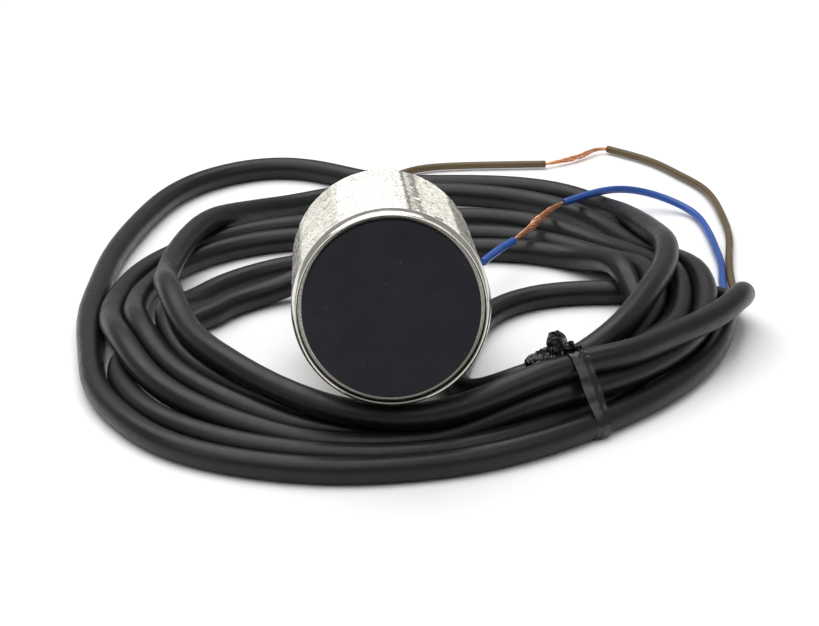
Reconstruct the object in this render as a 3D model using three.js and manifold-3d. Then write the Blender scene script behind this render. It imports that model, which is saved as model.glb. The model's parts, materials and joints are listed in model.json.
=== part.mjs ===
// Inductive proximity sensor: threaded M30 barrel with a coiled two-core lead.
// Millimetres, +Z up. The barrel's nose points to -Y and is tipped up, because it
// rests on the coil; its rear edge stands on the floor at z = 0.
import * as THREE from 'three';
import { mergeVertices } from 'three/addons/utils/BufferGeometryUtils.js';
import Module from 'manifold-3d';

const wasm = await Module();
wasm.setup();

// ---- driving dimensions -------------------------------------------------
const GAP = 0.3;                 // clearance between touching pieces
const BARREL_R = 15;             // M30 thread, crest radius
const BARREL_LENGTH = 50;
const THREAD_PITCH = 1.5;
const THREAD_ROOT_R = 14.08;
const REAR_CHAMFER = 1;
const RIM_LENGTH = 2.7;          // plain rim ahead of the thread
const BORE_R = 13;
const CAP_R = 13.7;              // sensing face
const CAP_SEAT_R = 14.05;
const CAP_SEAT_DEPTH = 2.4;
const TILT = THREE.MathUtils.degToRad(11);

const CORD_D = 4.2;
const CORD_SIDES = 10;
const WIRE_D = 1.4;
const STRAND_D = 0.8;

const BOARD = { width: 20, thickness: 1, rear: 11, front: 37 };
const COIL_CENTRE = [3, 38];
const GLAND_REACH = 6;           // gland's length behind the barrel

// ---- cord route outside the coil, world millimetres -----------------------
// From the gland down to the floor and over to the coil's inner wall.
const LEAD = [
  [0, 30.4, 13.4], [0, 33.6, 12.8], [-0.8, 37.2, 11.6], [-3, 40.8, 9.9],
  [-6.8, 43.4, 7.6], [-11, 44.1, 5.1], [-15.3, 43.2, 3.2], [-19.6, 41, 2.3],
  [-23.8, 37.8, 2.1], [-27.2, 34, 2.1], [-28.8, 31.5, 2.1],
];
// The last turn doubled back: a loop over the open middle, beside the barrel.
const INNER_LOOP = [
  [41, 39.6, 2.2], [33, 39.5, 2.2], [26, 37.6, 2.2], [20.3, 33, 2.2], [16.5, 27, 2.2],
  [14.3, 19, 2.2], [12.6, 10.5, 2.2], [11, 3, 2.2], [11.3, -3.5, 2.4], [14.8, -8, 3.2],
  [20, -8.8, 4.6], [25, -6.2, 6],
];
// Two cores, from the jacket's cut end to their stripped ends.
const BROWN_WIRE = [
  [62, 45.5, 0.9], [63.2, 58, 1], [64.9, 70, 1], [65.3, 82.7, 1], [64.1, 97.4, 1],
  [60.4, 106.7, 1], [55.6, 115.7, 1], [48, 123.8, 1],
];
const BLUE_WIRE = [
  [60.3, 45.5, 0.9], [61.3, 54, 1], [61.6, 63.4, 1], [61.1, 78.8, 1], [58.5, 86, 1.6],
  [52.6, 88.4, 3.4], [46, 86, 5.2], [40.3, 81.7, 5.8], [35, 77, 5.8],
];
const BROWN_STRANDS = [[47.3, 124.5, 1], [45.8, 123.6, 1], [41.5, 119, 1], [35.2, 114.9, 1]];
const BLUE_STRANDS = [[34.3, 76.3, 5.8], [32.2, 71.5, 5.8], [28.8, 64.5, 6], [24.4, 55.4, 6.3]];
const BROWN_SLUG = [[34.4, 114.5, 1], [20, 114.3, 1], [10, 112.6, 1], [5, 108.5, 1]];
const BLUE_SLUG = [[24, 54.6, 6.4], [21.2, 49.4, 6.7], [17.9, 42.8, 6.8]];

// Coil envelope about COIL_CENTRE: angle (degrees), inner wall, outer wall, top.
const COIL_STATIONS = [
  [0, 41, 62, 8.5], [15, 40, 52, 8.5], [30, 33, 53, 7], [45, 27, 63, 4.8],
  [60, 23, 66, 4.5], [75, 19.5, 65, 4.3], [90, 19, 65, 4.3], [105, 19, 79, 4.3],
  [120, 19.5, 78, 4.5], [135, 21, 74, 6.5], [150, 25, 65, 8], [165, 29, 57, 8],
  [180, 34, 55, 8.3], [195, 35.5, 58, 8.2], [210, 38, 64, 8.2], [225, 42, 71, 8.3],
  [240, 48, 75, 8], [255, 54, 75, 8], [270, 55, 74, 8], [285, 54, 71, 10],
  [300, 53.5, 66, 11.5], [315, 46.5, 62.5, 10.5], [330, 42, 61.5, 8.5], [345, 40, 64, 8.5],
];
// Open crescents between groups of turns at the rear: angle, inner, outer.
const NEAR_GAP = [[40, 35, 37], [60, 27.5, 39], [90, 24, 34.5], [120, 24.5, 38], [150, 30.5, 36]];
const FAR_GAP = [[90, 56.5, 58.5], [97, 54, 64], [110, 50, 69], [125, 48.5, 68], [145, 48, 55]];

const TIE = { angle: 296, radius: 59.6, height: 6.5, halfX: 7.6, halfZ: 6.2, wall: 0.7, width: 3.2 };

// ---- materials ------------------------------------------------------------
const material = (color, roughness, metalness = 0) =>
  new THREE.MeshStandardMaterial({ color, roughness, metalness });

const NICKEL = material(0xc9c6bd, 0.25, 1);
const BLACK_PLASTIC = material(0x2c2d33, 0.6);
const GREY_PLASTIC = material(0x55575c, 0.5);
const FERRITE = material(0x3a3a3e, 0.7);
const BOBBIN = material(0xd8d2c0, 0.6);
const COPPER = material(0xb8714a, 0.35, 1);
const BOARD_GREEN = material(0x1f5c3a, 0.5);
const CHIP = material(0x1b1b1d, 0.55);
const CERAMIC = material(0x9a8f80, 0.6);
const CAPACITOR = material(0x263a6a, 0.45);
const TRIMMER = material(0x2f6fb0, 0.5);
const LED_RED = material(0xb02020, 0.3);
const RUBBER = material(0x1a1a1b, 0.85);
const RESIN = material(0x4b463c, 0.5);
const STEEL = material(0xa8a8a8, 0.35, 1);
const JACKET = material(0x26262a, 0.5);
const BROWN = material(0x4a2c1c, 0.45);
const BLUE = material(0x1c4fae, 0.4);
const TIE_BLACK = material(0x101012, 0.25);

// ---- helpers ----------------------------------------------------------------
const group = new THREE.Group();
group.name = 'proximity_sensor';

// Barrel frame: local +Z runs from the rear end (0) to the sensing face.
const forward = new THREE.Vector3(0, -Math.cos(TILT), Math.sin(TILT));
const barrelUp = new THREE.Vector3(0, Math.sin(TILT), Math.cos(TILT));
const lowestEdge = BARREL_LENGTH / 2 - REAR_CHAMFER;
const centreHeight = lowestEdge * Math.sin(TILT) + BARREL_R * Math.cos(TILT);
const barrelFrame = new THREE.Matrix4().makeBasis(new THREE.Vector3(1, 0, 0), barrelUp, forward);
const rearCentre = new THREE.Vector3(0, 0, centreHeight)
  .addScaledVector(forward, -BARREL_LENGTH / 2);
barrelFrame.setPosition(rearCentre);

const barrelPoint = (x, y, z) => new THREE.Vector3(x, y, z).applyMatrix4(barrelFrame);
const worldPoints = (list) => list.map(([x, y, z]) => new THREE.Vector3(x, y, z));

function signedVolume(geometry) {
  const p = geometry.attributes.position;
  const index = geometry.index;
  const a = new THREE.Vector3();
  const b = new THREE.Vector3();
  const c = new THREE.Vector3();
  let sum = 0;
  for (let i = 0; i < index.count; i += 3) {
    a.fromBufferAttribute(p, index.getX(i));
    b.fromBufferAttribute(p, index.getX(i + 1));
    c.fromBufferAttribute(p, index.getX(i + 2));
    sum += a.dot(b.cross(c));
  }
  return sum / 6;
}

// One closed body with shared vertices, facing out.
function closed(geometry) {
  geometry.deleteAttribute('normal');
  geometry.deleteAttribute('uv');
  const merged = mergeVertices(geometry, 1e-4);
  const kept = [];
  for (let i = 0; i < merged.index.count; i += 3) {
    const [a, b, c] = [0, 1, 2].map((k) => merged.index.getX(i + k));
    if (a !== b && b !== c && a !== c) kept.push(a, b, c);
  }
  merged.setIndex(kept);
  if (signedVolume(merged) < 0) {
    for (let i = 0; i < kept.length; i += 3) {
      [kept[i], kept[i + 1]] = [kept[i + 1], kept[i]];
    }
    merged.setIndex(kept);
  }
  return merged;
}

function toManifold(geometry) {
  return new wasm.Manifold(new wasm.Mesh({
    numProp: 3,
    vertProperties: new Float32Array(geometry.attributes.position.array),
    triVerts: new Uint32Array(geometry.index.array),
  }));
}

function fromManifold(body) {
  const mesh = body.getMesh();
  const geometry = new THREE.BufferGeometry();
  geometry.setAttribute('position', new THREE.BufferAttribute(mesh.vertProperties, 3));
  geometry.setIndex(new THREE.BufferAttribute(mesh.triVerts, 1));
  return geometry;
}

const cut = (geometry, ...tools) =>
  fromManifold(tools.reduce((body, tool) => body.subtract(toManifold(tool)), toManifold(geometry)));

function addPiece(name, geometry, pieceMaterial) {
  geometry.computeVertexNormals();
  const mesh = new THREE.Mesh(geometry, pieceMaterial);
  mesh.name = name;
  group.add(mesh);
}

const addInBarrel = (name, geometry, pieceMaterial) =>
  addPiece(name, geometry.applyMatrix4(barrelFrame), pieceMaterial);

// Solid of revolution about Z from [radius, z] points.
function revolve(profile, segments = 32) {
  const points = profile.map(([r, z]) => new THREE.Vector2(r, z));
  if (profile[0][0] > 0) points.push(points[0].clone());
  return closed(new THREE.LatheGeometry(points, segments).rotateX(Math.PI / 2));
}

const block = (w, h, d, x, y, z) =>
  closed(new THREE.BoxGeometry(w, h, d).translate(x, y, z));

const pin = (r, length, x, y, z, sides = 16) =>
  closed(new THREE.CylinderGeometry(r, r, length, sides).rotateX(Math.PI / 2).translate(x, y, z));

const torus = (r, minor, z) =>
  closed(new THREE.TorusGeometry(r, minor, 8, 32).translate(0, 0, z));

function tube(points, diameter, sides, steps) {
  const section = new THREE.Shape();
  for (let i = 0; i < sides; i += 1) {
    const a = (2 * Math.PI * i) / sides;
    const x = (diameter / 2) * Math.cos(a);
    const y = (diameter / 2) * Math.sin(a);
    if (i === 0) section.moveTo(x, y);
    else section.lineTo(x, y);
  }
  section.closePath();
  const extrudePath = new THREE.CatmullRomCurve3(points, false, 'centripetal');
  return closed(new THREE.ExtrudeGeometry(section, { steps, extrudePath, bevelEnabled: false }));
}

// ---- barrel -----------------------------------------------------------------
function housing() {
  const profile = [[BORE_R, 0], [BARREL_R - REAR_CHAMFER, 0], [BARREL_R, REAR_CHAMFER]];
  const threadEnd = BARREL_LENGTH - RIM_LENGTH;
  const ridges = Math.floor((threadEnd - REAR_CHAMFER) / THREAD_PITCH);
  for (let i = 0; i < ridges; i += 1) {
    const z = REAR_CHAMFER + i * THREAD_PITCH;
    profile.push([THREAD_ROOT_R, z + THREAD_PITCH / 2], [BARREL_R, z + THREAD_PITCH]);
  }
  profile.push(
    [BARREL_R, BARREL_LENGTH - 1.6], [BARREL_R - 0.5, BARREL_LENGTH],
    [CAP_SEAT_R + 0.1, BARREL_LENGTH],
    [CAP_SEAT_R, BARREL_LENGTH - 0.2], [CAP_SEAT_R, BARREL_LENGTH - CAP_SEAT_DEPTH],
    [BORE_R, BARREL_LENGTH - CAP_SEAT_DEPTH],
  );
  return revolve(profile, 32);
}

function frontCap() {
  const seat = BARREL_LENGTH - CAP_SEAT_DEPTH + GAP;
  const skirt = BORE_R - GAP;
  return revolve([
    [0, 49.8], [CAP_R - 0.3, 49.8], [CAP_R, 49.5], [CAP_R, seat], [skirt, seat],
    [skirt, 45.4], [12.1, 45.4], [12.1, 43.6], [skirt, 43.6], [skirt, 39.4],
    [11.4, 39.4], [11.4, 48.6], [0, 48.6],
  ], 40);
}

function rearCap() {
  const r = BORE_R - GAP;
  return revolve([
    [3.8, 0.2], [r - 0.4, 0.2], [r, 0.6], [r, 1.8], [12.1, 1.8], [12.1, 3.6],
    [r, 3.6], [r, 5], [3.8, 5],
  ]);
}

function cableGland() {
  const bore = CORD_D / 2 + GAP;
  return revolve([
    [bore, -GLAND_REACH], [3.3, -GLAND_REACH], [4.2, -GLAND_REACH + 1.2], [5, -2],
    [5, -0.1], [3.5, -0.1], [3.5, 4.8], [bore, 4.8],
  ], 24);
}

addInBarrel('housing_barrel', housing(), NICKEL);
addInBarrel('front_cap', frontCap(), BLACK_PLASTIC);
addInBarrel('front_oring', torus(12.53, 0.36, 44.5), RUBBER);
addInBarrel('rear_cap', rearCap(), GREY_PLASTIC);
addInBarrel('rear_oring', torus(12.53, 0.36, 2.7), RUBBER);
addInBarrel('cable_gland', cableGland(), RUBBER);

// ---- sensing coil -------------------------------------------------------------
const LEAD_HOLE_X = 7.4;

function ferriteCore() {
  const core = revolve([
    [0, 39.6], [11.1, 39.6], [11.1, 48.3], [9.3, 48.3], [9.3, 42], [5.2, 42],
    [5.2, 48.3], [0, 48.3],
  ]);
  return cut(core, pin(0.6, 5, LEAD_HOLE_X, 0, 41), pin(0.6, 5, -LEAD_HOLE_X, 0, 41));
}

function coilBobbin() {
  const bobbin = revolve([
    [5.5, 42.3], [9, 42.3], [9, 42.8], [6.1, 42.8], [6.1, 47.5], [9, 47.5],
    [9, 48], [5.5, 48],
  ], 28);
  return cut(bobbin, pin(0.6, 2, LEAD_HOLE_X, 0, 42.6), pin(0.6, 2, -LEAD_HOLE_X, 0, 42.6));
}

function coilLead(side) {
  const route = [[LEAD_HOLE_X, 0, 42.8], [LEAD_HOLE_X, 0, 39.4], [LEAD_HOLE_X, 1.1, 37.4],
    [LEAD_HOLE_X, 1.1, 34.5]];
  const points = route.map(([x, y, z]) => new THREE.Vector3(side * x, y, z));
  return tube(points, 0.5, 6, 8);
}

addInBarrel('ferrite_core', ferriteCore(), FERRITE);
addInBarrel('coil_bobbin', coilBobbin(), BOBBIN);
addInBarrel('coil_winding', revolve([[6.4, 43.1], [8.8, 43.1], [8.8, 47.2], [6.4, 47.2]]), COPPER);
addInBarrel('coil_lead_left', coilLead(-1), COPPER);
addInBarrel('coil_lead_right', coilLead(1), COPPER);

// ---- electronics -----------------------------------------------------------------
const boardLength = BOARD.front - BOARD.rear;
const boardMiddle = (BOARD.front + BOARD.rear) / 2;
const boardTop = BOARD.thickness / 2 + GAP;

// A part soldered on the board's upper (side 1) or lower (side -1) face.
const mounted = (w, h, d, x, z, side = 1) => block(w, h, d, x, side * (boardTop + h / 2), z);

addInBarrel('circuit_board',
  block(BOARD.width, BOARD.thickness, boardLength, 0, 0, boardMiddle), BOARD_GREEN);
addInBarrel('oscillator_ic', mounted(5, 1.6, 6, -2.5, 30), CHIP);
addInBarrel('output_thyristor', mounted(6.5, 2.3, 6, 4.5, 21), CHIP);
addInBarrel('bridge_rectifier', mounted(5, 2.5, 6, -5, 21), CHIP);
addInBarrel('trim_resistor', mounted(3.2, 1.8, 3.2, -7.5, 27), TRIMMER);
addInBarrel('smoothing_capacitor', pin(2.5, 6, 4.5, boardTop + 2.5, 29.5, 20), CAPACITOR);
addInBarrel('status_led', pin(1.5, 3, 7.2, boardTop + 1.5, 13.2, 12), LED_RED);
for (let i = 0; i < 4; i += 1) {
  addInBarrel(`chip_resistor_${i + 1}`, mounted(1.6, 0.6, 3.2, -6 + 4 * i, 26, -1), CERAMIC);
}

function pottingPlug() {
  const hole = CORD_D / 2 + GAP;
  const r = BORE_R - GAP;
  return revolve([[hole, 5.4], [r, 5.4], [r, 7.3], [hole, 7.3]]);
}

function coreInside(side) {
  const route = [[0.95, 0.3, 9.9], [1.6, 1.6, 11.6], [3, 1.7, 13.4], [4, 1.7, 15.2]];
  const points = route.map(([x, y, z]) => new THREE.Vector3(side * x, y, z));
  return tube(points, WIRE_D, 8, 6);
}

addInBarrel('potting_plug', pottingPlug(), RESIN);
addInBarrel('cable_clamp', revolve([[2.4, 7.7], [3.4, 7.7], [3.4, 9.3], [2.4, 9.3]], 20), STEEL);
addInBarrel('inner_wire_brown', coreInside(-1), BROWN);
addInBarrel('inner_wire_blue', coreInside(1), BLUE);

// ---- cord ------------------------------------------------------------------------
// Value of a station column at an angle, straight between neighbouring stations.
function stationAt(stations, angle, column) {
  const last = stations.length - 1;
  let i = stations.findIndex(([a]) => a > angle);
  if (i < 0) i = stations.length;
  const before = stations[Math.max(i - 1, 0)];
  const after = i > last ? [stations[0][0] + 360, ...stations[0].slice(1)] : stations[i];
  const t = (angle - before[0]) / (after[0] - before[0]);
  return before[column] + t * (after[column] - before[column]);
}

const onCoil = (r, degrees, z) => {
  const a = THREE.MathUtils.degToRad(degrees);
  return [COIL_CENTRE[0] + r * Math.cos(a), COIL_CENTRE[1] + r * Math.sin(a), z];
};

// Skin a list of equal sections: joined end to end, or capped.
function skin(sections, ring) {
  const n = sections[0].length;
  const index = [];
  const spans = ring ? sections.length : sections.length - 1;
  for (let i = 0; i < spans; i += 1) {
    const j = (i + 1) % sections.length;
    for (let k = 0; k < n; k += 1) {
      const m = (k + 1) % n;
      index.push(i * n + k, j * n + k, j * n + m, i * n + k, j * n + m, i * n + m);
    }
  }
  if (!ring) {
    const end = (sections.length - 1) * n;
    for (let k = 1; k < n - 1; k += 1) {
      index.push(0, k, k + 1, end, end + k + 1, end + k);
    }
  }
  const geometry = new THREE.BufferGeometry();
  geometry.setAttribute('position', new THREE.Float32BufferAttribute(sections.flat(2), 3));
  geometry.setIndex(index);
  return closed(geometry);
}

function coilRing() {
  const sections = [];
  const step = 5;
  for (let angle = 0; angle < 360; angle += step) {
    const inner = stationAt(COIL_STATIONS, angle, 1);
    const outer = stationAt(COIL_STATIONS, angle, 2);
    const top = stationAt(COIL_STATIONS, angle, 3);
    const outline = [
      [inner + 1, 0], [inner, 1], [inner, top - 1.8], [inner + 1.6, top],
      [outer - 1.6, top], [outer, top - 1.8], [outer, 1], [outer - 1, 0],
    ];
    sections.push(outline.map(([r, z]) => onCoil(r, angle, z)));
  }
  return skin(sections, true);
}

function crescent(stations) {
  const first = stations[0][0];
  const last = stations[stations.length - 1][0];
  const sections = [];
  for (let angle = first; angle <= last; angle += 5) {
    const t = Math.min(angle, last - 0.01);
    const inner = stationAt(stations, t, 1);
    const outer = stationAt(stations, t, 2);
    const outline = [[inner, -1], [inner, 14], [outer, 14], [outer, -1]];
    sections.push(outline.map(([r, z]) => onCoil(r, angle, z)));
  }
  return skin(sections, false);
}

// Rounded rectangle loop round the turns, standing on the radius at TIE.angle.
function tieOutline(grow) {
  const points = [];
  for (let i = 0; i < 28; i += 1) {
    const a = (2 * Math.PI * i) / 28;
    const x = Math.sign(Math.cos(a)) * Math.abs(Math.cos(a)) ** 0.6;
    const y = Math.sign(Math.sin(a)) * Math.abs(Math.sin(a)) ** 0.6;
    points.push(new THREE.Vector2((TIE.halfX + grow) * x, (TIE.halfZ + grow) * y));
  }
  return points;
}

function tieFrame() {
  const a = THREE.MathUtils.degToRad(TIE.angle);
  const radial = new THREE.Vector3(Math.cos(a), Math.sin(a), 0);
  const upward = new THREE.Vector3(0, 0, 1);
  const along = new THREE.Vector3().crossVectors(radial, upward);
  const frame = new THREE.Matrix4().makeBasis(radial, upward, along);
  return frame.setPosition(...onCoil(TIE.radius, TIE.angle, TIE.height));
}

function tieLoop(outer, inner, width) {
  const shape = new THREE.Shape(tieOutline(outer));
  if (inner !== null) shape.holes.push(new THREE.Path(tieOutline(inner)));
  const body = new THREE.ExtrudeGeometry(shape, { depth: width, bevelEnabled: false });
  return closed(body.translate(0, 0, -width / 2).applyMatrix4(tieFrame()));
}

const tieBand = () => tieLoop(0, -TIE.wall, TIE.width);

// Everything near the tie except the neck of turns that passes through it.
function tieClearance() {
  const width = TIE.width + 2 * GAP;
  const frame = tieFrame();
  const bulk = closed(new THREE.BoxGeometry(40, 30, width).applyMatrix4(frame));
  return cut(bulk, tieLoop(-TIE.wall - GAP, null, width + 2));
}

function barrelClearance() {
  const r = BARREL_R + GAP;
  const length = BARREL_LENGTH + 2 * GAP;
  return pin(r, length, 0, 0, BARREL_LENGTH / 2, 48).applyMatrix4(barrelFrame);
}

function leadRoute() {
  const inside = [barrelPoint(0, 0, 9.6), barrelPoint(0, 0, 4), barrelPoint(0, 0, -2)];
  return [...inside, ...worldPoints(LEAD)];
}

addPiece('cord_lead', tube(leadRoute(), CORD_D, CORD_SIDES, 18), JACKET);
addPiece('cord_coil',
  cut(coilRing(), crescent(NEAR_GAP), crescent(FAR_GAP), tieClearance(), barrelClearance()),
  JACKET);
addPiece('cord_inner_loop', tube(worldPoints(INNER_LOOP), CORD_D, CORD_SIDES, 18), JACKET);

addPiece('core_brown', tube(worldPoints(BROWN_WIRE), WIRE_D, 8, 14), BROWN);
addPiece('core_blue', tube(worldPoints(BLUE_WIRE), WIRE_D, 8, 14), BLUE);
addPiece('strands_brown', tube(worldPoints(BROWN_STRANDS), STRAND_D, 6, 4), COPPER);
addPiece('strands_blue', tube(worldPoints(BLUE_STRANDS), STRAND_D, 6, 4), COPPER);
addPiece('slug_brown', tube(worldPoints(BROWN_SLUG), WIRE_D, 8, 4), BROWN);
addPiece('slug_blue', tube(worldPoints(BLUE_SLUG), WIRE_D, 8, 4), BLUE);

// ---- twist tie -----------------------------------------------------------------
// A flat ribbon carried along a route with a turn about its own axis.
function ribbon(route, width, thickness, twist) {
  const curve = new THREE.CatmullRomCurve3(worldPoints(route), false, 'centripetal');
  const steps = 12;
  const sections = [];
  for (let i = 0; i <= steps; i += 1) {
    const t = i / steps;
    const centre = curve.getPointAt(t);
    const tangent = curve.getTangentAt(t);
    const side = new THREE.Vector3(0, 0, 1).cross(tangent).normalize();
    const face = new THREE.Vector3().crossVectors(tangent, side);
    const angle = twist * t;
    const across = side.clone().multiplyScalar(Math.cos(angle))
      .addScaledVector(face, Math.sin(angle));
    const through = new THREE.Vector3().crossVectors(tangent, across);
    const corners = [[-1, -1], [1, -1], [1, 1], [-1, 1]];
    sections.push(corners.map(([u, v]) => centre.clone()
      .addScaledVector(across, (u * width) / 2)
      .addScaledVector(through, (v * thickness) / 2)
      .toArray()));
  }
  return skin(sections, false);
}

const TIE_TWIST = [[28.4, -10.4, 13.2], [26.8, -10, 13.4], [25.3, -9.7, 13]];
const TIE_TAIL_FRONT = [[24.7, -10.6, 12.8], [23.2, -11.6, 12.9], [21.4, -12.4, 11.6]];
const TIE_TAIL_REAR = [[24.9, -8.4, 13.2], [25.1, -6.6, 13.9], [25.4, -4.6, 14.4]];

addPiece('tie_band', tieBand(), TIE_BLACK);
addPiece('tie_twist', ribbon(TIE_TWIST, 1.8, 1, 2 * Math.PI), TIE_BLACK);
addPiece('tie_tail_front', ribbon(TIE_TAIL_FRONT, 2.4, 0.5, 0.6), TIE_BLACK);
addPiece('tie_tail_rear', ribbon(TIE_TAIL_REAR, 2.4, 0.5, -0.6), TIE_BLACK);

export default group;
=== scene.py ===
"""Inductive proximity sensor: threaded M30 barrel with a coiled two-core lead."""

import json
import math

import bmesh
import bpy
import numpy as np
from mathutils import Matrix, Vector
from mathutils.geometry import convex_hull_2d


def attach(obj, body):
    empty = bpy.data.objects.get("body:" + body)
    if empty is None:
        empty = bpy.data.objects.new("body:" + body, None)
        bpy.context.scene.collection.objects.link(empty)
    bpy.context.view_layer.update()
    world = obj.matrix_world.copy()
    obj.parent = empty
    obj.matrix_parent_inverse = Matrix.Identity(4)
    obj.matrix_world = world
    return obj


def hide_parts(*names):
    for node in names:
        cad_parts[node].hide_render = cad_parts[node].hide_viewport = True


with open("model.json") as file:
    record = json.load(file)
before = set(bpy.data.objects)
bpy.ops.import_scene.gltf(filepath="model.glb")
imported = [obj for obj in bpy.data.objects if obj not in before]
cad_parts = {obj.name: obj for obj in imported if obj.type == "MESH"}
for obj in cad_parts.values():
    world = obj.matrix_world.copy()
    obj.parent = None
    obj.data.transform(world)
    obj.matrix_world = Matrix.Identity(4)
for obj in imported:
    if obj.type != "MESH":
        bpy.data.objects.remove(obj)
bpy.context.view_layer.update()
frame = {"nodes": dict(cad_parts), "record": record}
rng = np.random.default_rng(7)

MM = 0.001

# ---- camera ------------------------------------------------------------------
CAMERA_PLACE = (-0.01178, -0.42104, 0.17666)
CAMERA_PITCH = math.radians(21.107)
CAMERA_TURN = math.radians(2.088)


def add_camera():
    data = bpy.data.cameras.new("camera")
    data.sensor_width = 36
    data.lens = 125.27
    data.clip_start = 0.01
    data.dof.use_dof = False
    camera = bpy.data.objects.new("camera", data)
    camera.location = CAMERA_PLACE
    camera.rotation_euler = (math.pi / 2 - CAMERA_PITCH, 0, -CAMERA_TURN)
    bpy.context.collection.objects.link(camera)
    bpy.context.scene.camera = camera


add_camera()

# ---- barrel frame, from the sensing-face mount --------------------------------
face_mount = next(m for m in frame["record"]["mounts"] if m["name"] == "sensing_face")
FORWARD = Vector(face_mount["axis"]).normalized()
BARREL_R = 15.0 * MM
BARREL_LENGTH = 50.0 * MM
FACE_INSET = 0.2 * MM
THREAD_END = 47.0        # millimetres from the rear end to where the thread runs out
REAR = Vector(face_mount["pos_m"]) - FORWARD * (BARREL_LENGTH - FACE_INSET)
barrel_x = Vector((1, 0, 0))
barrel_y = FORWARD.cross(barrel_x).normalized()
BARREL_FRAME = Matrix.Translation(REAR) @ Matrix(
    (barrel_x, barrel_y, FORWARD)).transposed().to_4x4()

# ---- cord: sizes and given routes (millimetres here, used in metres) -----------
CORD_D = 4.2 * MM
WIRE_D = 1.4 * MM

LEAD = [
    (0, 30.4, 13.4), (0, 33.6, 12.8), (-0.8, 37.2, 11.6), (-3, 40.8, 9.9),
    (-6.8, 43.4, 7.6), (-11, 44.1, 5.1), (-15.3, 43.2, 3.2), (-19.6, 41, 2.3),
    (-23.8, 37.8, 2.1), (-27.2, 34, 2.1), (-28.8, 31.5, 2.1),
]
# Doubled back after the fifth turn: along the bundle, a hairpin at the right,
# under the turns, round the open middle and back to the bundle.
HAIRPIN = [
    (37, -8.5, 9.5), (43, -1.8, 10), (49.5, 5.3, 10), (55, 12, 10), (59.2, 19.5, 9.5),
    (61, 27, 7.5), (59.6, 34, 5), (55, 38.3, 2.8), (48.5, 39.6, 2.1),
]
INNER_LOOP = [
    (41, 39.6, 2.2), (33, 39.5, 2.2), (26, 37.6, 2.2), (20.3, 33, 2.2), (16.5, 27, 2.2),
    (14.3, 19, 2.2), (12.6, 10.5, 2.2), (11, 3, 2.2), (11.3, -3.5, 2.4), (14.8, -8, 3.2),
    (20, -8.8, 4.6), (25, -6.2, 6), (29.5, -2, 7.2),
]
BROWN_WIRE = [
    (59.4, 28.8, 2.1), (60.4, 32, 1.6), (61.4, 36.5, 0.9), (61.9, 41, 0.8), (62, 45.5, 0.9),
    (63.2, 58, 1), (64.9, 70, 1), (65.3, 82.7, 1), (64.1, 97.4, 1), (60.4, 106.7, 1),
    (55.6, 115.7, 1), (48, 123.8, 1),
]
BLUE_WIRE = [
    (58, 29, 2.1), (58.8, 32.5, 1.6), (59.7, 36.5, 0.9), (60.1, 41, 0.8), (60.3, 45.5, 0.9),
    (61.3, 54, 1), (61.6, 63.4, 1), (61.1, 78.8, 1), (58.5, 86, 1.6), (52.6, 88.4, 3.4),
    (46, 86, 5.2), (40.3, 81.7, 5.8), (35, 77, 5.8),
]
BROWN_STRANDS = [(48, 123.8, 1), (46, 123.4, 1.1), (41.5, 119, 1), (34.6, 114.6, 1)]
BLUE_STRANDS = [(35, 77, 5.8), (32.2, 72.6, 5.9), (28.8, 64.5, 6.1), (24, 54.6, 6.4)]
BROWN_SLUG = [(34.6, 114.6, 1), (20, 114.3, 1), (10, 112.6, 1), (5, 108.5, 1)]
BLUE_SLUG = [(24, 54.6, 6.4), (21.2, 49.4, 6.7), (17.9, 42.8, 6.8)]

# ---- cord: turns of the coil ----------------------------------------------------
# Radius and height about the coil's centre at stations 30 degrees apart, from 210.
# The fourth turn stops at 90 degrees, where the finer stations of the fifth begin.
COIL_CENTRE = (3, 38)
STATION = 30
FIRST_STATION = 210
TURN_RADII = [
    [53, 66, 66.3, 57, 48, 40.2, 37, 28, 21.5, 22, 27, 35],
    [44.2, 51, 53.5, 49.2, 46, 43.6, 41, 36, 30.5, 36, 41.5, 44.6],
    [48.8, 56.2, 58.3, 53.4, 50.4, 47.4, 45.2, 45.5, 40.5, 42.5, 45.9, 48.2],
    [53.2, 61.5, 62.8, 57.6, 54.8, 51.4, 50.2, 57, 56.6],
]
TURN_HEIGHTS = [
    [2.1, 2.1, 2.1, 2.1, 2.1, 6, 3.8, 2.1, 2.1, 2.1, 2.1, 3.4],
    [6, 4.6, 2.4, 2.1, 6, 6.3, 3.8, 2.1, 2.1, 2.1, 2.6, 4.3],
    [6, 4.8, 2.6, 4.2, 6.3, 6.3, 3.8, 2.1, 2.1, 2.1, 2.1, 3.8],
    [6, 4.8, 3.2, 6.4, 6.3, 6.3, 3.8, 2.1, 2.1],
]
# The fifth and last turns are lists of (degrees, radius, height).
FIFTH_TURN = [
    (104, 54.6, 3), (116, 51.2, 4.3), (127, 47.8, 5.3), (138, 44.8, 6), (150, 42.2, 6.6),
    (165, 40.4, 7.1), (181, 39.8, 7.8), (196, 40.8, 8.5), (211, 43.2, 9.2), (226, 47.4, 9.1),
    (240, 51.8, 8.6), (270, 62, 6.6), (300, 57, 9),
]
LAST_TURN = [
    (312, 48, 9.6), (325, 46, 10), (340, 45, 10.2), (358, 46.2, 10), (372, 47.8, 9.2),
    (384, 50, 8.2), (394, 53.4, 6.4), (405, 59, 4.4), (415, 63.4, 2.8), (425, 64.4, 2.1),
    (438, 62, 2.1), (450, 61.5, 2.1), (458, 68.5, 2.1),
    (466, 76, 2.1), (480, 73.6, 2.1), (495, 64, 2.1), (510, 57, 2.1), (525, 53.2, 2.1),
    (540, 52.1, 2.1), (555, 54, 2.1), (570, 58.5, 2.1), (585, 65.6, 2.1), (600, 72, 2.1),
    (615, 73.2, 2.1), (630, 70.9, 2.1), (660, 62, 2.1), (690, 57.5, 2.1), (710, 56.5, 2.1),
]

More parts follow.
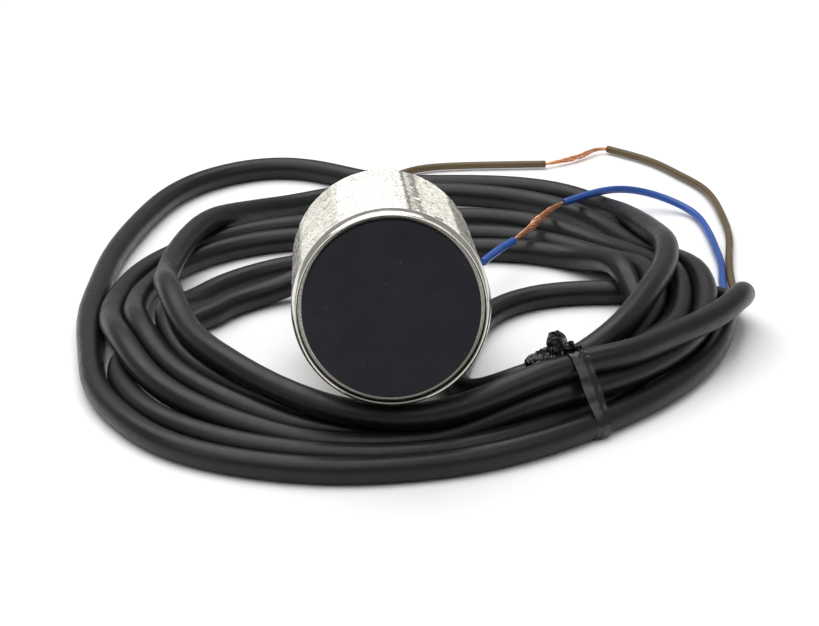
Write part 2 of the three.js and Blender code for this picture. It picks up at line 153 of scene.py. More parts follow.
SPAN = 2.0               # spacing of the cord's points
HELD = 24                # points of the lead that keep their place
STIFF_REACH = 9.0        # how far along the cord a push is shared
HOME_PULL = (0.03, 0.03, 0.01)   # pull back to the given route, each round
SAG = 0.012              # drop under the cord's own weight, each round
LONGEST_STEP = 0.5       # furthest that a point moves in a round
SMOOTHING_ROUNDS = 6


def on_coil(degrees, radius, height):
    angle = math.radians(degrees)
    return (COIL_CENTRE[0] + radius * math.cos(angle),
            COIL_CENTRE[1] + radius * math.sin(angle), height)


def cord_route():
    points = list(LEAD)
    for radii, heights in zip(TURN_RADII, TURN_HEIGHTS):
        for i, (radius, height) in enumerate(zip(radii, heights)):
            points.append(on_coil(FIRST_STATION + STATION * i, radius, height))
    points += [on_coil(*station) for station in FIFTH_TURN]
    points += HAIRPIN + INNER_LOOP
    points += [on_coil(*station) for station in LAST_TURN]
    return points


def spline(points, spacing):
    """Evenly spaced points on a natural cubic spline through the given ones."""
    p = np.asarray(points, float)
    t = np.concatenate([[0], np.cumsum(np.sqrt(np.linalg.norm(np.diff(p, axis=0), axis=1)))])
    h = np.diff(t)
    n = len(p)
    a = np.eye(n)
    b = np.zeros((n, 3))
    for i in range(1, n - 1):
        a[i, i - 1:i + 2] = h[i - 1], 2 * (h[i - 1] + h[i]), h[i]
        b[i] = 6 * ((p[i + 1] - p[i]) / h[i] - (p[i] - p[i - 1]) / h[i - 1])
    m = np.linalg.solve(a, b)
    fine = np.linspace(0, t[-1], 60 * n)
    k = np.clip(np.searchsorted(t, fine, side="right") - 1, 0, n - 2)
    u = (fine - t[k])[:, None]
    w = (t[k + 1] - fine)[:, None]
    hk = h[k][:, None]
    q = (m[k] * w ** 3 + m[k + 1] * u ** 3) / (6 * hk)
    q += (p[k] / hk - m[k] * hk / 6) * w + (p[k + 1] / hk - m[k + 1] * hk / 6) * u
    return resample(q, spacing)


def resample(q, spacing):
    s = np.concatenate([[0], np.cumsum(np.linalg.norm(np.diff(q, axis=0), axis=1))])
    count = max(2, int(round(s[-1] / spacing)) + 1)
    at = np.linspace(0, s[-1], count)
    return np.stack([np.interp(at, s, q[:, axis]) for axis in range(3)], axis=1)


def close_pairs(q, reach, skip):
    """Index pairs of points nearer than reach and further apart along the cord than skip."""
    pairs = []
    for i in range(0, len(q), 100):
        d = np.linalg.norm(q[i:i + 100, None] - q[None], axis=2)
        a, b = np.nonzero(d < reach)
        a += i
        keep = b - a > skip
        pairs.append(np.stack([a[keep], b[keep]], axis=1))
    return np.concatenate(pairs)


def spread(shift, reach):
    """Shifts shared along the cord, as a stiff cord moves in long smooth arcs."""
    half = int(3 * reach / SPAN)
    kernel = np.exp(-0.5 * (np.arange(-half, half + 1) * SPAN / reach) ** 2)
    kernel /= kernel.sum()
    return np.stack([np.convolve(shift[:, k], kernel, mode="same") for k in range(3)], axis=1)


def settle(q, diameter, rounds=500):
    """Let the cord lie: no two turns in each other, clear of the barrel, on the floor."""
    q = q.copy()
    home = q.copy()
    radius = diameter / 2
    axis = np.array(FORWARD)
    rear = np.array(REAR) / MM
    length = BARREL_LENGTH / MM
    clear = BARREL_R / MM + radius + 0.1
    for step in range(rounds):
        if step % 10 == 0:
            pairs = close_pairs(q, 1.6 * diameter, int(3 * diameter / SPAN))
        shift = (home - q) * HOME_PULL
        shift[:, 2] -= SAG
        i, j = pairs.T
        gap = q[j] - q[i]
        distance = np.linalg.norm(gap, axis=1)
        near = distance < diameter
        push = gap[near] / distance[near, None] * (diameter - distance[near, None])
        np.add.at(shift, j[near], push)
        np.add.at(shift, i[near], -push)
        along = (q - rear) @ axis
        across = q - rear - along[:, None] * axis
        reach = np.linalg.norm(across, axis=1)
        inside = (along > 0) & (along < length) & (reach < clear)
        shift[inside] += across[inside] / reach[inside, None] * (clear - reach[inside, None])
        shift = spread(shift, STIFF_REACH)
        limit = LONGEST_STEP / np.maximum(np.linalg.norm(shift, axis=1), LONGEST_STEP)
        q += shift * limit[:, None]
        sunk = np.maximum(radius - q[:, 2], 0)
        q[:, 2] += sunk
        q[:HELD] = home[:HELD]
    for _ in range(SMOOTHING_ROUNDS):
        middle = (q[:-2] + 2 * q[1:-1] + q[2:]) / 4
        q[HELD:-1] = middle[HELD - 1:]
    q[:, 2] = np.maximum(q[:, 2], radius)
    return q


# ---- mesh helpers ------------------------------------------------------------------
def mesh_piece(name, vertices, faces, material, smooth=True):
    mesh = bpy.data.meshes.new(name)
    mesh.from_pydata([tuple(v) for v in vertices], [], [tuple(f) for f in faces])
    mesh.validate()
    mesh.update()
    if smooth:
        mesh.polygons.foreach_set("use_smooth", [True] * len(mesh.polygons))
    mesh.materials.append(material)
    piece = bpy.data.objects.new(name, mesh)
    bpy.context.collection.objects.link(piece)
    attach(piece, "root")
    return piece


def grid_faces(rows, columns, wrap_rows=False):
    """Quads of a grid whose columns close on themselves."""
    faces = []
    spans = rows if wrap_rows else rows - 1
    for i in range(spans):
        a = i * columns
        b = ((i + 1) % rows) * columns
        for k in range(columns):
            m = (k + 1) % columns
            faces.append((a + k, a + m, b + m, b + k))
    return faces


def tube_rings(path, radii, sides):
    """Rings of points round a path, carried along without twist."""
    p = np.asarray(path, float)
    tangent = np.gradient(p, axis=0)
    tangent /= np.linalg.norm(tangent, axis=1)[:, None]
    up = np.array([0.0, 0.0, 1.0])
    side = np.cross(tangent[0], up)
    side /= np.linalg.norm(side)
    angles = np.linspace(0, 2 * math.pi, sides, endpoint=False)
    rings = []
    for point, along, radius in zip(p, tangent, radii):
        side = side - along * np.dot(side, along)
        side /= np.linalg.norm(side)
        other = np.cross(along, side)
        ring = point + radius * (np.cos(angles)[:, None] * side + np.sin(angles)[:, None] * other)
        rings.append(ring)
    return np.concatenate(rings)


def tube_piece(name, path, diameter, sides, material):
    """Closed tube along a path in metres, its cut ends slightly rounded."""
    p = np.asarray(path, float)
    r = diameter / 2
    first = (p[0] - p[1]) / np.linalg.norm(p[0] - p[1])
    last = (p[-1] - p[-2]) / np.linalg.norm(p[-1] - p[-2])
    trim = 0.12 * r
    p = np.concatenate([[p[0] + first * trim], p, [p[-1] + last * trim]])
    radii = np.full(len(p), r)
    radii[0] = radii[-1] = r * 0.9
    vertices = tube_rings(p, radii, sides)
    faces = grid_faces(len(p), sides)
    faces.append(tuple(range(sides))[::-1])
    faces.append(tuple(range(len(vertices) - sides, len(vertices))))
    piece = mesh_piece(name, vertices, faces, material)
    for polygon in list(piece.data.polygons)[-2:]:
        polygon.use_smooth = False
    return piece


def in_barrel(r, angle, z):
    """World place of a point given round the barrel's axis, in millimetres."""
    return BARREL_FRAME @ (Vector((r * math.cos(angle), r * math.sin(angle), z)) * MM)


def revolved_piece(name, profile, material, segments=128):
    """Piece turned about the barrel's axis from (radius, z) in millimetres."""
    angles = np.linspace(0, 2 * math.pi, segments, endpoint=False)
    vertices = []
    for r, z in profile:
        for a in angles:
            vertices.append(in_barrel(r, a, z))
    faces = grid_faces(len(profile), segments, wrap_rows=True)
    return mesh_piece(name, vertices, faces, material)


# ---- materials -----------------------------------------------------------------------
class Nodes:
    """Small helper that builds one node material."""

    def __init__(self, name):
        self.material = bpy.data.materials.new(name)
        self.material.use_nodes = True
        self.tree = self.material.node_tree
        self.shader = self.tree.nodes["Principled BSDF"]
        self.where = self.add("ShaderNodeTexCoord").outputs["Object"]

    def add(self, kind, **inputs):
        node = self.tree.nodes.new(kind)
        for key, value in inputs.items():
            name = key.replace("_", " ")
            if hasattr(value, "links") or isinstance(value, bpy.types.NodeSocket):
                self.tree.links.new(value, node.inputs[name])
            else:
                node.inputs[name].default_value = value
        return node

    def noise(self, scale, detail=3.0, roughness=0.5):
        return self.add("ShaderNodeTexNoise", Vector=self.where, Scale=scale, Detail=detail,
                        Roughness=roughness).outputs["Fac"]

    def ramp(self, value, stops):
        node = self.tree.nodes.new("ShaderNodeValToRGB")
        self.tree.links.new(value, node.inputs["Fac"])
        ramp = node.color_ramp
        while len(ramp.elements) < len(stops):
            ramp.elements.new(0.5)
        for element, (place, colour) in zip(ramp.elements, stops):
            element.position = place
            if isinstance(colour, (int, float)):
                colour = (colour, colour, colour)
            element.color = (*colour, 1)
        return node.outputs["Color"]

    def bump(self, height, strength, distance):
        node = self.add("ShaderNodeBump", Strength=strength, Distance=distance)
        self.tree.links.new(height, node.inputs["Height"])
        return node.outputs["Normal"]

    def set(self, **inputs):
        for key, value in inputs.items():
            name = key.replace("_", " ")
            if isinstance(value, bpy.types.NodeSocket):
                self.tree.links.new(value, self.shader.inputs[name])
            else:
                self.shader.inputs[name].default_value = value
        return self


def plastic(name, dark, light, roughness, grain=900, bump=0.1, spread=0.08, coat=0.0):
    """Moulded plastic or rubber with a fine grain and uneven colour and gloss."""
    n = Nodes(name)
    colour = n.ramp(n.noise(grain * 0.12, 4), [(0.35, dark), (0.7, light)])
    rough = n.ramp(n.noise(grain * 0.4), [(0.3, roughness - spread), (0.7, roughness + spread)])
    normal = n.bump(n.noise(grain, 2), bump, 0.0001)
    n.set(Base_Color=colour, Roughness=rough, Normal=normal, Coat_Weight=coat)
    return n.material


def jacket_material():
    """Dark PVC with drawn streaks, dust and a soft sheen."""
    n = Nodes("jacket")
    base = n.ramp(n.noise(90, 5), [(0.3, (0.0034, 0.0040, 0.0042)),
                                   (0.7, (0.0064, 0.0074, 0.0076))])
    dust = n.ramp(n.noise(2600, 2, 0.6), [(0.68, 0.0), (0.73, 1.0)])
    patch = n.ramp(n.noise(160, 3), [(0.42, 0.0), (0.68, 0.6)])
    amount = n.add("ShaderNodeMath")
    amount.operation = "MULTIPLY"
    n.tree.links.new(dust, amount.inputs[0])
    n.tree.links.new(patch, amount.inputs[1])
    mix = n.add("ShaderNodeMix")
    mix.data_type = "RGBA"
    n.tree.links.new(amount.outputs[0], mix.inputs["Factor"])
    n.tree.links.new(base, mix.inputs[6])
    mix.inputs[7].default_value = (0.12, 0.125, 0.125, 1)
    rough = n.ramp(n.noise(500, 4), [(0.3, 0.31), (0.7, 0.43)])
    normal = n.bump(n.noise(1400, 3), 0.12, 0.0001)
    n.set(Base_Color=mix.outputs[2], Roughness=rough, Normal=normal)
    n.shader.inputs["Specular IOR Level"].default_value = 0.33
    return n.material


def metal(name, dark, light, low, high, grain=700, bump=0.06, wear=0.0, painted_dashes=0.0):
    """Metal with cloudy tint and gloss; bump wear and painted shade dashes that break up the
    reflection are for the barrel.
    """
    n = Nodes(name)
    colour = n.ramp(n.noise(120, 5), [(0.3, dark), (0.7, light)])
    if painted_dashes:
        # Painted shade: dark dashes along the axis darken the colour to break the thread's bright
        # reflection into glints, on the thread but not on the smooth rim.
        stretch = n.add("ShaderNodeMapping", Vector=n.where, Scale=(1, 0.13, 1))
        dash_noise = n.add("ShaderNodeTexNoise", Vector=stretch.outputs[0], Scale=2500, Detail=2)
        shade = n.ramp(dash_noise.outputs["Fac"], [(0.36, 1 - painted_dashes), (0.49, 1.0)])
        along = n.add("ShaderNodeVectorMath")
        along.operation = "DOT_PRODUCT"
        n.tree.links.new(n.where, along.inputs[0])
        along.inputs[1].default_value = FORWARD
        threaded = n.add("ShaderNodeMath")
        threaded.operation = "LESS_THAN"
        n.tree.links.new(along.outputs["Value"], threaded.inputs[0])
        threaded.inputs[1].default_value = REAR.dot(FORWARD) + THREAD_END * MM
        mix = n.add("ShaderNodeMix")
        mix.data_type = "RGBA"
        mix.blend_type = "MULTIPLY"
        n.tree.links.new(threaded.outputs[0], mix.inputs["Factor"])
        n.tree.links.new(colour, mix.inputs[6])
        n.tree.links.new(shade, mix.inputs[7])
        colour = mix.outputs[2]
    rough = n.ramp(n.noise(grain, 3), [(0.3, low), (0.7, high)])
    normal = n.bump(n.noise(grain * 3, 2), bump, 0.00005)
    if wear:
        worn = n.add("ShaderNodeBump", Strength=wear, Distance=0.0002, Normal=normal)
        n.tree.links.new(n.noise(2400, 2, 0.6), worn.inputs["Height"])
        normal = worn.outputs["Normal"]
    n.set(Base_Color=colour, Metallic=1.0, Roughness=rough, Normal=normal)
    return n.material


def face_material():
    """Moulded black sensing face with a fine grain and a few dust specks."""
    n = Nodes("sensing_face")
    base = n.ramp(n.noise(220, 5), [(0.3, (0.0080, 0.0080, 0.0125)),
                                    (0.7, (0.0120, 0.0120, 0.0180))])
    specks = n.ramp(n.noise(1500, 2, 0.4), [(0.74, 0.0), (0.78, 0.6)])
    mix = n.add("ShaderNodeMix")
    mix.data_type = "RGBA"
    n.tree.links.new(specks, mix.inputs["Factor"])
    n.tree.links.new(base, mix.inputs[6])
    mix.inputs[7].default_value = (0.07, 0.07, 0.09, 1)
    rough = n.ramp(n.noise(600, 3), [(0.3, 0.5), (0.7, 0.62)])
    n.set(Base_Color=mix.outputs[2], Roughness=rough, Normal=n.bump(n.noise(3500, 2), 0.15, 0.0001))
    n.shader.inputs["Specular IOR Level"].default_value = 0.25
    return n.material


JACKET = jacket_material()
# The barrel's dark dashes are painted shade that breaks up its bright reflection.
NICKEL = metal("nickel", (0.62, 0.60, 0.53), (0.80, 0.78, 0.71), 0.10, 0.18, wear=0.05,
               painted_dashes=0.34)
FACE = face_material()
RUBBER = plastic("rubber", (0.012, 0.012, 0.013), (0.025, 0.025, 0.026), 0.7)
GREY = plastic("grey_plastic", (0.07, 0.075, 0.08), (0.10, 0.105, 0.11), 0.5)
BROWN = plastic("brown_insulation", (0.080, 0.050, 0.015), (0.115, 0.074, 0.026), 0.42, bump=0.05)
BLUE = plastic("blue_insulation", (0.009, 0.058, 0.27), (0.015, 0.088, 0.38), 0.38, bump=0.05)
COPPER = metal("copper", (0.72, 0.30, 0.14), (0.93, 0.56, 0.34), 0.25, 0.42)
TIE = plastic("tie_ribbon", (0.004, 0.004, 0.005), (0.012, 0.012, 0.013), 0.2, grain=1500,
              bump=0.35, spread=0.1, coat=0.1)
FERRITE = plastic("ferrite", (0.03, 0.03, 0.032), (0.05, 0.05, 0.052), 0.65)
BOBBIN = plastic("bobbin", (0.55, 0.5, 0.4), (0.66, 0.61, 0.5), 0.5)
BOARD = plastic("board", (0.01, 0.09, 0.035), (0.02, 0.14, 0.06), 0.35)
CHIP = plastic("chip", (0.012, 0.012, 0.013), (0.02, 0.02, 0.022), 0.5)
CERAMIC = plastic("chip_ceramic", (0.25, 0.21, 0.17), (0.34, 0.3, 0.25), 0.4)
CAN = plastic("capacitor_sleeve", (0.015, 0.03, 0.11), (0.025, 0.045, 0.16), 0.35)
TRIMMER = plastic("trimmer", (0.02, 0.12, 0.36), (0.035, 0.17, 0.46), 0.4)
LED = plastic("led_lens", (0.32, 0.012, 0.012), (0.45, 0.02, 0.02), 0.2)
RESIN = plastic("potting_resin", (0.055, 0.048, 0.034), (0.085, 0.075, 0.055), 0.3)
STEEL = metal("clamp_steel", (0.45, 0.45, 0.46), (0.58, 0.58, 0.59), 0.25, 0.4)

# ---- cord --------------------------------------------------------------------------
cord_path = settle(spline(cord_route(), SPAN), CORD_D / MM) * MM
cord = tube_piece("lead_cord", cord_path, CORD_D, 24, JACKET)
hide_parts("cord_lead", "cord_coil", "cord_inner_loop")


def wire_path(points):
    return spline(points, 0.8) * MM


brown_path = wire_path(BROWN_WIRE)
blue_path = wire_path(BLUE_WIRE)
brown = tube_piece("wire_brown", brown_path, WIRE_D, 16, BROWN)
blue = tube_piece("wire_blue", blue_path, WIRE_D, 16, BLUE)
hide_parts("core_brown")
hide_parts("core_blue")


STRAND_RADIUS = 0.10 * MM


def strand_bundle(name, points, node, flare, count=14):
    """Bare copper strands, loosely twisted and fanned out halfway along a route."""
    centre = spline(points, 0.25) * MM
    tangent = np.gradient(centre, axis=0)
    tangent /= np.linalg.norm(tangent, axis=1)[:, None]
    up = np.array([0.0, 0.0, 1.0])
    side = np.cross(tangent, up)
    side /= np.linalg.norm(side, axis=1)[:, None]
    other = np.cross(tangent, side)
    run = np.linspace(0, 1, len(centre))
    length = np.linalg.norm(np.diff(centre, axis=0), axis=1).sum()
    vertices = []
    faces = []
    sides = 6
    for k in range(count):
        swell = 0.2 + flare * np.sin(math.pi * run) ** 1.3
        reach = 0.0 if k == 0 else swell * (0.75 + 0.4 * rng.random()) * MM
        turns = length / (9 * MM)
        phase = 2 * math.pi * k / (count - 1)
        angle = phase + 2 * math.pi * turns * run + 0.25 * np.sin(9 * run + 4 * k)
        offset = (np.ones(len(run)) * reach)[:, None] * (
            np.cos(angle)[:, None] * side + np.sin(angle)[:, None] * other)
        rings = tube_rings(centre + offset, np.full(len(centre), STRAND_RADIUS), sides)
        base = len(vertices)
        vertices.extend(rings)
        faces += [tuple(base + i for i in f) for f in grid_faces(len(centre), sides)]
        faces.append(tuple(base + i for i in range(sides))[::-1])
        end = base + (len(centre) - 1) * sides
        faces.append(tuple(end + i for i in range(sides)))
    piece = mesh_piece(name, vertices, faces, COPPER)
    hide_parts(node)
    return piece


copper_brown = strand_bundle("copper_brown", BROWN_STRANDS, "strands_brown", 0.26)
copper_blue = strand_bundle("copper_blue", BLUE_STRANDS, "strands_blue", 0.52)
end_brown = tube_piece("end_brown", wire_path(BROWN_SLUG), WIRE_D, 16, BROWN)
end_blue = tube_piece("end_blue", wire_path(BLUE_SLUG), WIRE_D, 16, BLUE)
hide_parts("slug_brown")
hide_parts("slug_blue")

# ---- twist tie -----------------------------------------------------------------------
TIE_ANGLE = math.radians(297.2)
TIE_WIDTH = 2.8
TIE_WALL = 0.28
INNERMOST_TIED = 40      # radius beyond which the turns pass through the tie
ROPE = [(30.1, -14.2, 11.6), (29.4, -13.2, 12.6), (28.2, -12.5, 13.1), (26.9, -12, 13.3),
        (25.8, -11.8, 13.3)]
LEAF = [(26.2, -12.4, 11.6), (26.1, -12.2, 12.8), (25.8, -12, 14), (25.4, -11.8, 15.2)]
CURL = [(27.6, -12.7, 12.0), (25.8, -12.8, 11.9), (23.8, -12.8, 11.8), (22.3, -12.9, 11.3),
        (21.5, -13.1, 10.6), (22, -13.3, 10.1)]


def tie_outline():
    """Tight loop round the turns where they cross the tie's plane, in (radial, height)."""
    radial = np.array([math.cos(TIE_ANGLE), math.sin(TIE_ANGLE)])
    along = np.array([-radial[1], radial[0]])
    p = cord_path / MM
    flat = p[:, :2] - np.array(COIL_CENTRE)
    ahead = flat @ along
    out = flat @ radial
    spots = []
    for i in range(len(p) - 1):
        if ahead[i] * ahead[i + 1] < 0 and out[i] > INNERMOST_TIED:
            t = ahead[i] / (ahead[i] - ahead[i + 1])
            spots.append((out[i] + t * (out[i + 1] - out[i]),
                          p[i, 2] + t * (p[i + 1, 2] - p[i, 2])))
    reach = CORD_D / MM / 2 + 0.12
    ring = []
    for r, z in spots:
        for k in range(32):
            a = 2 * math.pi * k / 32
            ring.append((r + reach * math.cos(a), max(z + reach * math.sin(a), 0.05)))
    hull = [ring[i] for i in convex_hull_2d(ring)]
    loop = np.array(hull + hull[:1])
    s = np.concatenate([[0], np.cumsum(np.linalg.norm(np.diff(loop, axis=0), axis=1))])
    at = np.linspace(0, s[-1], 120, endpoint=False)
    return np.stack([np.interp(at, s, loop[:, k]) for k in range(2)], axis=1), radial, along


def tie_band():
    """Ribbon pulled tight round the turns, creased along its length."""
    loop, radial, along = tie_outline()
    count = len(loop)
    tangent = np.roll(loop, -1, axis=0) - np.roll(loop, 1, axis=0)
    tangent /= np.linalg.norm(tangent, axis=1)[:, None]
    outward = np.stack([tangent[:, 1], -tangent[:, 0]], axis=1)
    middle = loop.mean(axis=0)
    if ((loop - middle) * outward).sum() < 0:
        outward = -outward
    run = np.arange(count) / count * 2 * math.pi
    sway = 0.25 * np.sin(run + 0.6) + 0.12 * np.sin(3 * run)
    half = TIE_WIDTH / 2 * (1 + 0.10 * np.sin(2 * run + 1) + 0.06 * np.sin(7 * run))
    steps = np.linspace(-1, 1, 7)
    crease = 0.07 * np.cos(steps * 4.2) + 0.03 * np.cos(steps * 9)
    vertices = []
    for i in range(count):
        lift = TIE_WALL + 0.09 * math.sin(11 * run[i]) * math.sin(5 * run[i] + 1)
        upper = [(sway[i] + half[i] * t, lift + c + 0.05 * rng.random() * (1 - abs(t)))
                 for t, c in zip(steps, crease)]
        lower = [(sway[i] + half[i] * t, 0.0) for t in steps[::-1]]
        for shift, height in upper + lower:
            r, z = loop[i] + outward[i] * height
            spot = np.array(COIL_CENTRE) + radial * r + along * shift
            vertices.append((spot[0] * MM, spot[1] * MM, max(z, 0.02) * MM))
    faces = grid_faces(count, 2 * len(steps), wrap_rows=True)
    piece = mesh_piece("tie_ribbon", vertices, faces, TIE)
    piece.data.set_sharp_from_angle(angle=math.radians(35))
    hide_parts("tie_band")
    return piece


def crumpled(name, points, node, width, turn, creasing, spin=0.0, taper=0.25):
    """Strip of ribbon crushed by hand along a route, tapering to its end."""
    centre = spline(points, 0.22)
    tangent = np.gradient(centre, axis=0)
    tangent /= np.linalg.norm(tangent, axis=1)[:, None]
    steps = np.linspace(-1, 1, 6)
    count = len(centre)
    vertices = []
    ridge = 0.0
    for i, (spot, run) in enumerate(zip(centre, tangent)):
        t = i / (count - 1)
        side = np.cross(run, (0.0, -1.0, 0.35))
        side /= np.linalg.norm(side)
        other = np.cross(run, side)
        angle = spin + turn * t + 0.35 * math.sin(9 * t + len(name))
        across = math.cos(angle) * side + math.sin(angle) * other
        through = np.cross(run, across)
        half = width / 2 * (1 - taper * t) * (1 + 0.12 * math.sin(11 * t))
        ridge = 0.6 * ridge + 0.4 * rng.uniform(-1, 1)
        fold = creasing * (np.cos(steps * 5 + 3 * ridge) + 0.5 * rng.uniform(-1, 1, 6))
        upper = [(half * u, f + 0.11) for u, f in zip(steps, fold)]
        lower = [(half * u, f - 0.11) for u, f in zip(steps[::-1], fold[::-1])]
        for u, v in upper + lower:
            vertices.append((spot + across * u + through * v) * MM)
    sides = 2 * len(steps)
    faces = grid_faces(count, sides)
    faces.append(tuple(range(sides))[::-1])
    faces.append(tuple(range((count - 1) * sides, count * sides)))
    piece = mesh_piece(name, vertices, faces, TIE, smooth=False)
    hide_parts(node)
    return piece


tie_pieces = [
    tie_band(),
    crumpled("tie_rope", ROPE, "tie_twist", 1.9, 3.4 * math.pi, 0.22),
    crumpled("tie_leaf", LEAF, "tie_tail_front", 5.6, 0.3, 0.16, -0.3, taper=0.7),
    crumpled("tie_curl", CURL, "tie_tail_rear", 2.9, 1.0, 0.18, 0.1),
]

# ---- barrel ---------------------------------------------------------------------------
THREAD_PITCH = 1.5
THREAD_DEPTH = 0.92
RUN_OUT = 0.6            # length over which the thread fades before the rim
NECK_RADIUS = 14.15
THREAD_SHAPE = [(0.0, 1.0), (0.06, 1.0), (0.25, 0.52), (0.44, 0.0), (0.56, 0.0), (0.75, 0.48),
                (0.94, 1.0)]     # (part of a pitch, height of the flank there)
RIM = [(14.15, 47.25), (14.85, 47.3), (15.0, 47.45), (15.0, 48.3), (14.93, 48.6), (14.62, 49.75),
       (14.5, 49.93), (14.35, 50.0), (14.2, 49.96), (14.1, 49.8), (14.05, 49.6), (14.05, 47.6),
       (13.0, 47.6)]


def thread_radius(z, height):
    """Radius on the thread: chamfered at the rear, running out before the rim."""
    r = BARREL_R / MM - THREAD_DEPTH * (1 - height)
    fade = min(1.0, max(0.0, (THREAD_END - z) / RUN_OUT))
    return min(NECK_RADIUS + (r - NECK_RADIUS) * fade, 14.0 + z)


def barrel_piece():
    """Barrel with a right-hand thread whose rows follow the helix."""
    segments = 192
    per_turn = len(THREAD_SHAPE)
    turns = int(THREAD_END / THREAD_PITCH) + 3
    angles = np.linspace(0, 2 * math.pi, segments, endpoint=False)
    rows = [[(13.0, 0.0)] * segments, [(13.9, 0.0)] * segments]
    first = len(rows)
    chatter = rng.normal(0, 0.03, segments)     # tool marks that line up from ridge to ridge
    for turn in range(turns):
        for phase, height in THREAD_SHAPE:
            row = []
            for a, mark in zip(angles, chatter):
                z = THREAD_PITCH * (turn - 1 + phase + a / (2 * math.pi))
                worn = height * (mark + rng.normal(0, 0.018)) if 0.6 < z < THREAD_END - 1 else 0
                z = min(max(z, 0.05), THREAD_END)
                row.append((thread_radius(z, height) - abs(worn), z + worn))
            rows.append(row)
    last = len(rows) - 1
    rows += [[point] * segments for point in RIM]
    vertices = [in_barrel(r, a, z) for row in rows for (r, z), a in zip(row, angles)]
    faces = []
    for i in range(len(rows)):
        n = (i + 1) % len(rows)
        step = per_turn if first <= i < last else 0
        for k in range(segments - 1):
            faces.append((i * segments + k, i * segments + k + 1,
                          n * segments + k + 1, n * segments + k))
        near = min(i + step, last) if step else i
        far = min(n + step, last) if step else n
        faces.append((i * segments + segments - 1, near * segments, far * segments,
                      n * segments + segments - 1))
    piece = mesh_piece("barrel", vertices, faces, NICKEL)
    shape = bmesh.new()
    shape.from_mesh(piece.data)
    bmesh.ops.remove_doubles(shape, verts=shape.verts, dist=1e-7)
    bmesh.ops.recalc_face_normals(shape, faces=shape.faces)
    shape.to_mesh(piece.data)
    shape.free()
    piece.data.set_sharp_from_angle(angle=math.radians(25))
    return piece


barrel = barrel_piece()
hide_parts("housing_barrel")

FACE_PROFILE = [
    (0.001, 49.72), (0.5, 49.73), (0.9, 49.78), (1.2, 49.8), (13.2, 49.8), (13.38, 49.76),
    (13.45, 49.65), (13.45, 47.9), (12.7, 47.9), (12.7, 45.4), (12.1, 45.4), (12.1, 43.6),
    (12.7, 43.6), (12.7, 39.4), (11.4, 39.4), (11.4, 48.6), (0.001, 48.6),
]
face = revolved_piece("sensing_cap", FACE_PROFILE, FACE)
face.data.set_sharp_from_angle(angle=math.radians(35))
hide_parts("front_cap")

# Rear cap with a shallow dished face and a raised collar round the gland.
REAR_PROFILE = [
    (3.8, 0.35), (3.95, 0.2), (5.9, 0.2), (6.05, 0.35), (6.05, 0.6), (6.3, 0.75), (11.6, 0.75),
    (11.85, 0.6), (11.85, 0.3), (12, 0.2), (12.4, 0.2), (12.62, 0.3), (12.7, 0.6), (12.7, 5),
    (3.8, 5),
]
rear = revolved_piece("end_cap", REAR_PROFILE, GREY)
rear.data.set_sharp_from_angle(angle=math.radians(35))
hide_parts("rear_cap")

# Bend relief: rings cut in the sleeve behind the flange.
GLAND_PROFILE = [
    (2.3, -5.9), (2.4, -6), (3.15, -6), (3.3, -5.85), (3.45, -5.3), (2.85, -5.2), (2.85, -4.7),
    (3.75, -4.6), (3.95, -4.05), (3.05, -3.95), (3.05, -3.45), (4.3, -3.3), (4.55, -2.7),
    (4.95, -2.1), (5, -1.9), (5, -0.25), (4.85, -0.1), (3.5, -0.1), (3.5, 4.8), (2.3, 4.8),
]
gland = revolved_piece("bend_relief", GLAND_PROFILE, RUBBER, segments=64)
gland.data.set_sharp_from_angle(angle=math.radians(35))
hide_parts("cable_gland")

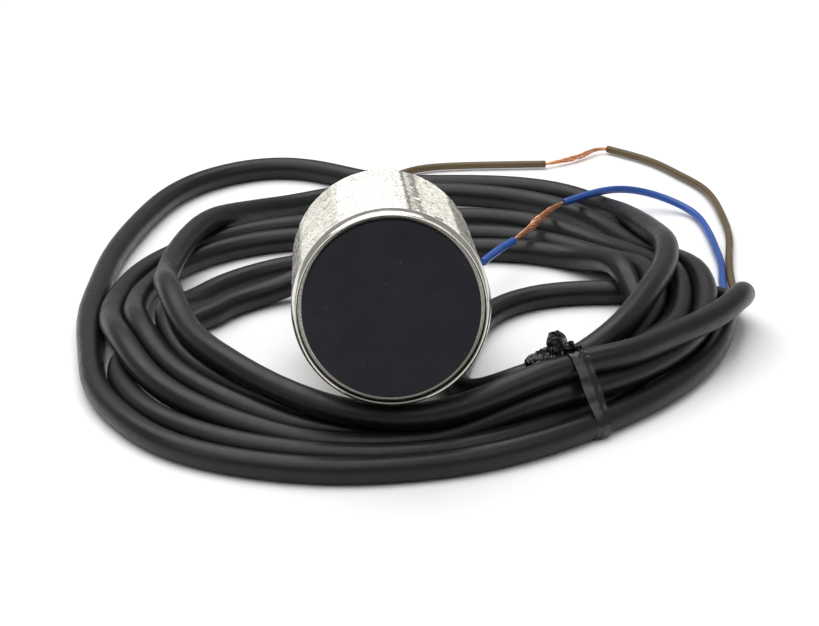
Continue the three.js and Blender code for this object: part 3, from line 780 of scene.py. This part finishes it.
for name, material in {
        "front_oring": RUBBER, "rear_oring": RUBBER,
        "ferrite_core": FERRITE, "coil_bobbin": BOBBIN, "coil_winding": COPPER,
        "coil_lead_left": COPPER, "coil_lead_right": COPPER, "circuit_board": BOARD,
        "oscillator_ic": CHIP, "output_thyristor": CHIP, "bridge_rectifier": CHIP,
        "trim_resistor": TRIMMER, "smoothing_capacitor": CAN, "status_led": LED,
        "chip_resistor_1": CERAMIC, "chip_resistor_2": CERAMIC, "chip_resistor_3": CERAMIC,
        "chip_resistor_4": CERAMIC, "potting_plug": RESIN, "cable_clamp": STEEL,
        "inner_wire_brown": BROWN, "inner_wire_blue": BLUE}.items():
    node = frame["nodes"][name]
    node.data.materials.clear()
    node.data.materials.append(material)


# ---- floor and light ----------------------------------------------------------------------
def add_floor():
    n = Nodes("floor")
    n.set(Base_Color=n.ramp(n.noise(8, 2), [(0.3, 0.86), (0.7, 0.88)]), Roughness=0.6)
    mesh = bpy.data.meshes.new("floor")
    size = 6.0               # metres from the origin to the floor's edge
    mesh.from_pydata([(-size, -size, 0), (size, -size, 0), (size, size, 0), (-size, size, 0)],
                     [], [(0, 1, 2, 3)])
    mesh.materials.append(n.material)
    floor = bpy.data.objects.new("floor", mesh)
    bpy.context.collection.objects.link(floor)


def add_light(name, place, target, size, power, colour=(1, 1, 1)):
    data = bpy.data.lights.new(name, "AREA")
    data.shape = "RECTANGLE"
    data.size, data.size_y = size
    data.energy = power
    data.color = colour
    light = bpy.data.objects.new(name, data)
    light.location = place
    direction = Vector(target) - Vector(place)
    light.rotation_euler = direction.to_track_quat("-Z", "Y").to_euler()
    bpy.context.collection.objects.link(light)


def add_world():
    world = bpy.data.worlds.new("studio")
    world.use_nodes = True
    background = world.node_tree.nodes["Background"]
    background.inputs["Color"].default_value = (1, 0.995, 0.98, 1)
    background.inputs["Strength"].default_value = 0.34
    bpy.context.scene.world = world


add_floor()
add_world()
# Four soft boxes overhead: the gap between the main and the right one leaves a thin
# dark line along the barrel's bright top.
add_light("back", (-0.25, 0.45, 1.0), (-0.25, 0.2, 0), (1.4, 1.2), 12.5)
add_light("main", (-0.21, -0.5, 1.0), (-0.21, -0.5, 0), (0.86, 0.9), 4.5, (0.94, 0.95, 1))
add_light("right", (0.84, -0.5, 1.0), (0.84, -0.5, 0), (0.86, 0.9), 2.6)
add_light("left", (-1.15, -0.5, 0.9), (-0.6, -0.4, 0), (0.8, 0.9), 2.2)
bpy.context.scene.view_settings.view_transform = "Standard"
